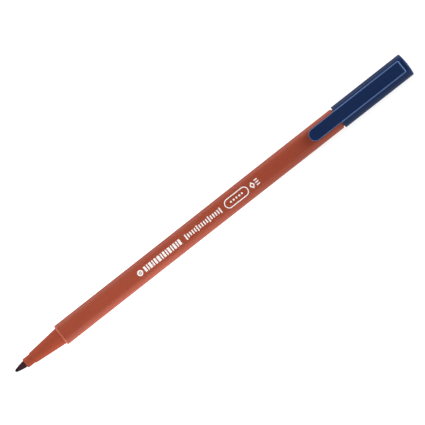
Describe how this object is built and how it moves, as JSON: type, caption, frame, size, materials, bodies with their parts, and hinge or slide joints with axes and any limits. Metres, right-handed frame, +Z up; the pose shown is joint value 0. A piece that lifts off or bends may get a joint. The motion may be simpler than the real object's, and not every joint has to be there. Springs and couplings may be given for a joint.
{
  "type": "felt tip marker",
  "caption": "Soft-triangular felt tip pen with a stepped cone, a fibre nib and a clip cap pushed on behind the barrel.",
  "frame": {"origin": "under the pen's axis, halfway along its length, on the surface that it lies on", "axes": "+X along the pen towards the cap, nib towards -X; +Z up; one flat faces down, the clip's flat faces -Y and up"},
  "size_m": [0.172, 0.0098, 0.0083],
  "materials": {
    "barrel_plastic": "satin moulded polypropylene, terracotta",
    "cap_plastic": "moulded polypropylene, navy",
    "nib_fibre": "bonded fibre, inked dark",
    "reservoir_fibre": "bonded fibre, inked",
    "reservoir_film": "thin clear film",
    "seal_plastic": "natural polyethylene"
  },
  "bodies": {
    "pen": {"barrel": "barrel_plastic", "nib_holder": "barrel_plastic", "nib": "nib_fibre", "reservoir_core": "reservoir_fibre", "reservoir_sleeve": "reservoir_film", "end_plug": "barrel_plastic"},
    "cap": {"cap_shell": "cap_plastic", "inner_cap": "seal_plastic", "clip_root": "cap_plastic"},
    "clip": {"clip_arm": "cap_plastic"}
  },
  "joints": [
    {"name": "cap_pull", "type": "slide", "parent": "pen", "child": "cap", "axis": [1, 0, 0], "range_m": [0, 0.03]},
    {"name": "clip_flex", "type": "hinge", "parent": "cap", "child": "clip", "pos_m": [0.07745, -0.00393, 0.006], "axis": [0, 0.5, 0.866], "range_deg": [0, 4], "stiffness_Nm_per_rad": 0.3}
  ]
}
